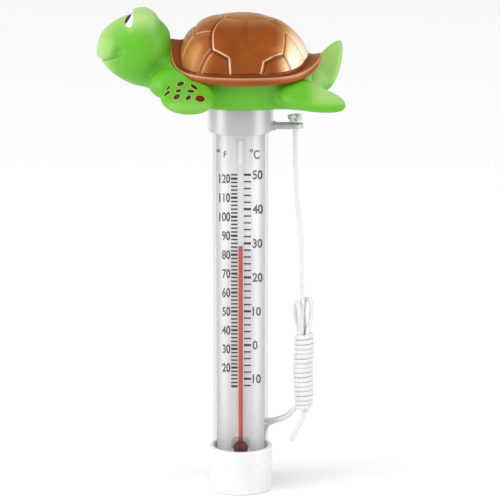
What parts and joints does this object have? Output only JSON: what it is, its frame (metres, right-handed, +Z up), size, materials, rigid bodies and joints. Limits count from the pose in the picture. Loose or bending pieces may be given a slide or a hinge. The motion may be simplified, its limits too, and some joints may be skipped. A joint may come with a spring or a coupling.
{
  "type": "floating pool thermometer",
  "caption": "Upright tube thermometer with a red spirit column and a two-unit scale, weighted white base cap, white top cap with a tied lanyard, and a turtle figure that turns on top.",
  "frame": {"origin": "on the tube's axis, at the underside of the base cap", "axes": "+Z up along the tube; +X towards the lanyard tab; -X towards the turtle's head; -Y is the side from which the scale is read"},
  "size_m": [0.1208, 0.0888, 0.2401],
  "materials": {
    "white_abs": "glossy moulded ABS",
    "clear_tube": "clear, polished",
    "seal_rubber": "milky soft silicone",
    "ballast_steel": "plain",
    "cushion_foam": "closed-cell foam",
    "card_white": "printed white card",
    "stem_glass": "clear glass",
    "spirit_red": "dyed spirit",
    "figure_green": "soft vinyl, satin",
    "shell_bronze": "pearl bronze paint on vinyl",
    "clip_steel": "spring steel",
    "cord_white": "braided polyester"
  },
  "bodies": {
    "thermometer": {"base_cap": "white_abs", "base_seal": "seal_rubber", "ballast_weight": "ballast_steel", "bulb_cushion": "cushion_foam", "outer_tube": "clear_tube", "top_seal": "seal_rubber", "top_cap": "white_abs", "top_holder": "white_abs", "scale_card": "card_white", "thermometer_glass": "stem_glass", "bulb_spirit": "spirit_red", "stem_tapes": "cushion_foam", "spigot_clip": "clip_steel", "cord_knot": "cord_white", "cord_lead": "cord_white", "cord_hank": "cord_white", "cord_bight": "cord_white", "cord_tail": "cord_white"},
    "turtle": {"figure_bush": "white_abs", "figure_body": "figure_green", "figure_shell": "shell_bronze"},
    "spirit": {"spirit_column": "spirit_red", "spirit_meniscus": "spirit_red"}
  },
  "joints": [
    {"name": "figure_swivel", "type": "hinge", "parent": "thermometer", "child": "turtle", "pos_m": [0, 0, 0.1945], "axis": [0, 0, 1], "continuous": true},
    {"name": "spirit_rise", "type": "slide", "parent": "thermometer", "child": "spirit", "axis": [0, 0, 1], "range_m": [-0.0713, 0.0352], "deforming": ["spirit_column"]}
  ]
}
